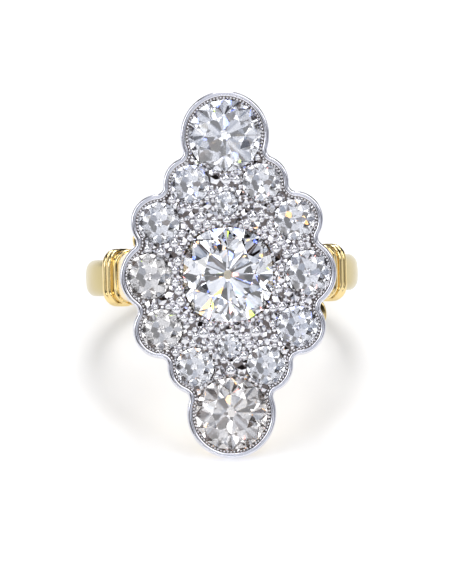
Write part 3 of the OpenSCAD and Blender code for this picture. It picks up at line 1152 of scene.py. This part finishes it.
@dataclass
class Studio:
    """The pale floor, the soft lights and the camera."""

    head_centre: Vector
    image: tuple[int, int] = (468, 570)
    head_pixel: tuple[float, float] = (228.4, 274.7)
    pixels_per_mm: float = 14.1
    azimuth: float = -2.6
    elevation: float = 29.4
    roll: float = 0.15
    distance: float = 0.3
    floor_size: float = 8.0
    floor_light: float = 0.85
    room_scale: float = 2.4
    room_light: float = 1.0

    def build_floor(self) -> None:
        """Adds the floor that the ring lies on, with a light of its own that thins the shadows."""
        bpy.ops.mesh.primitive_plane_add(size=self.floor_size)
        floor = added("floor")
        paper = bpy.data.materials.new("pale_paper")
        paper.use_nodes = True
        shader = paper.node_tree.nodes["Principled BSDF"]
        shader.inputs["Base Color"].default_value = (0.9, 0.9, 0.9, 1)
        shader.inputs["Roughness"].default_value = 0.9
        shader.inputs["Specular IOR Level"].default_value = 0.1
        floor.data.materials.append(paper)
        data = bpy.data.lights.new("floor_light", "SUN")
        data.energy = self.floor_light
        lamp = bpy.data.objects.new("floor_light", data)
        lamp.location = (0, 0, 1)
        bpy.context.collection.objects.link(lamp)
        lamp.light_linking.receiver_collection = group("floor_only", ("floor",))
        lamp.light_linking.blocker_collection = group("floor_alone", ("floor",))

    def build_room(self) -> None:
        """Adds the room, whose bright windows and dark corners the stones and metal mirror."""
        world = bpy.data.worlds.new("studio")
        world.use_nodes = True
        tree = world.node_tree
        place = tree.nodes.new("ShaderNodeTexCoord")
        patches = add_node(tree, "ShaderNodeTexNoise", {"Scale": self.room_scale, "Detail": 1.0})
        tree.links.new(place.outputs["Generated"], patches.inputs["Vector"])
        ramp = tree.nodes.new("ShaderNodeValToRGB")
        dark, bright = ramp.color_ramp.elements
        dark.position, dark.color = 0.485, (0.01, 0.008, 0.008, 1)
        bright.position, bright.color = 0.59, (1.0, 1.02, 1.07, 1)
        for at, colour in ((0.515, (0.15, 0.1, 0.075, 1)), (0.54, (0.35, 0.4, 0.5, 1))):
            ramp.color_ramp.elements.new(at).color = colour
        tree.links.new(patches.outputs["Fac"], ramp.inputs["Fac"])
        sky = tree.nodes["Background"]
        tree.links.new(ramp.outputs["Color"], sky.inputs["Color"])
        sky.inputs["Strength"].default_value = self.room_light
        bpy.context.scene.world = world

    def build_lights(self) -> None:
        """Adds the soft boxes and the small coloured ones that the stones throw back."""
        band = ("band_and_shoulders",)
        orange = (
            "centre_stone", "upper_outer_right_stone", "bottom_stone", "lower_inner_left_stone")
        blue = ("centre_stone", "top_stone", "upper_inner_left_stone", "lower_outer_right_stone")
        green = ("centre_stone", "top_stone", "waist_left_stone", "lower_outer_left_stone")
        red = ("centre_stone", "bottom_stone", "waist_right_stone", "upper_inner_right_stone")
        for box in (
            SoftBox("key_box", 46, 52, 0.5, (0.22, 0.3), 0.52),
            SoftBox("left_box", -55, 42, 0.5, (0.16, 0.35), 0.52),
            SoftBox("top_box", 175, 62, 0.5, (0.2, 0.18), 0.52),
            SoftBox("overhead_box", 0, 88, 0.6, (0.2, 0.2), 0.4, casters=band),
            SoftBox("back_box", 178, 58, 0.6, (0.16, 0.16), 0.55, casters=band),
            SoftBox("low_front_box", -10, 10, 0.6, (0.3, 0.06), 0.15),
        ):
            box.build(self.head_centre)
        for name, azimuth, elevation, side, power, colour, lit in (
            ("orange_glint", -22, 50, 0.13, 0.18, (1.0, 0.4, 0.03), orange),
            ("blue_glint", 16, 55, 0.14, 0.2, (0.1, 0.18, 1.0), blue),
            ("green_glint", 38, 32, 0.07, 0.05, (0.7, 1.0, 0.15), green),
            ("red_glint", -45, 30, 0.11, 0.12, (1.0, 0.12, 0.05), red),
            ("left_blue_glint", -60, 58, 0.14, 0.18, (0.12, 0.22, 1.0), blue),
            ("low_orange_glint", 28, 8, 0.07, 0.05, (1.0, 0.5, 0.08), orange),
        ):
            box = SoftBox(name, azimuth, elevation, 0.5, (side, side), power, colour, lit=lit)
            box.build(self.head_centre)

    def build_camera(self) -> None:
        """Adds the camera so that the head's centre falls on its place in the picture."""
        back = direction(self.azimuth, self.elevation)
        turn = back.to_track_quat("Z", "Y")
        spin = Matrix.Rotation(math.radians(-self.roll), 4, "Z")
        pose = turn.to_matrix().to_4x4() @ spin
        right, up = pose.col[0].to_3d(), pose.col[1].to_3d()
        scale = MM / self.pixels_per_mm
        off_x = (self.image[0] / 2 - self.head_pixel[0]) * scale
        off_y = (self.head_pixel[1] - self.image[1] / 2) * scale
        data = bpy.data.cameras.new("camera")
        data.sensor_width = 36.0
        data.lens = data.sensor_width * self.distance / (self.image[1] * scale)
        data.clip_start, data.clip_end = 0.01, 10.0
        camera = bpy.data.objects.new("camera", data)
        camera.matrix_world = Matrix.Translation(
            self.head_centre + back * self.distance + right * off_x + up * off_y) @ pose
        bpy.context.collection.objects.link(camera)
        bpy.context.scene.camera = camera

    def build(self) -> None:
        """Builds the studio."""
        self.build_floor()
        self.build_room()
        self.build_lights()
        self.build_camera()
        view = bpy.context.scene.view_settings
        view.view_transform = "Standard"
        view.look = "None"


def main() -> None:
    """Builds the ring's pieces and the studio."""
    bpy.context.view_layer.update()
    stone_nodes = [n for n in frame["nodes"] if n.endswith("_stone")]
    seats = {n: read_seat(n) for n in stone_nodes}
    outline = HeadOutline(Outline(), seats)
    head = HeadSetting(outline, list(seats.values()))
    head.build()
    Shank(outline, seats).build()
    Stones(stone_nodes).dress()
    Studio(LAY @ Vector((0, 0, head.rim_z))).build()


if __name__ == "__main__":
    main()
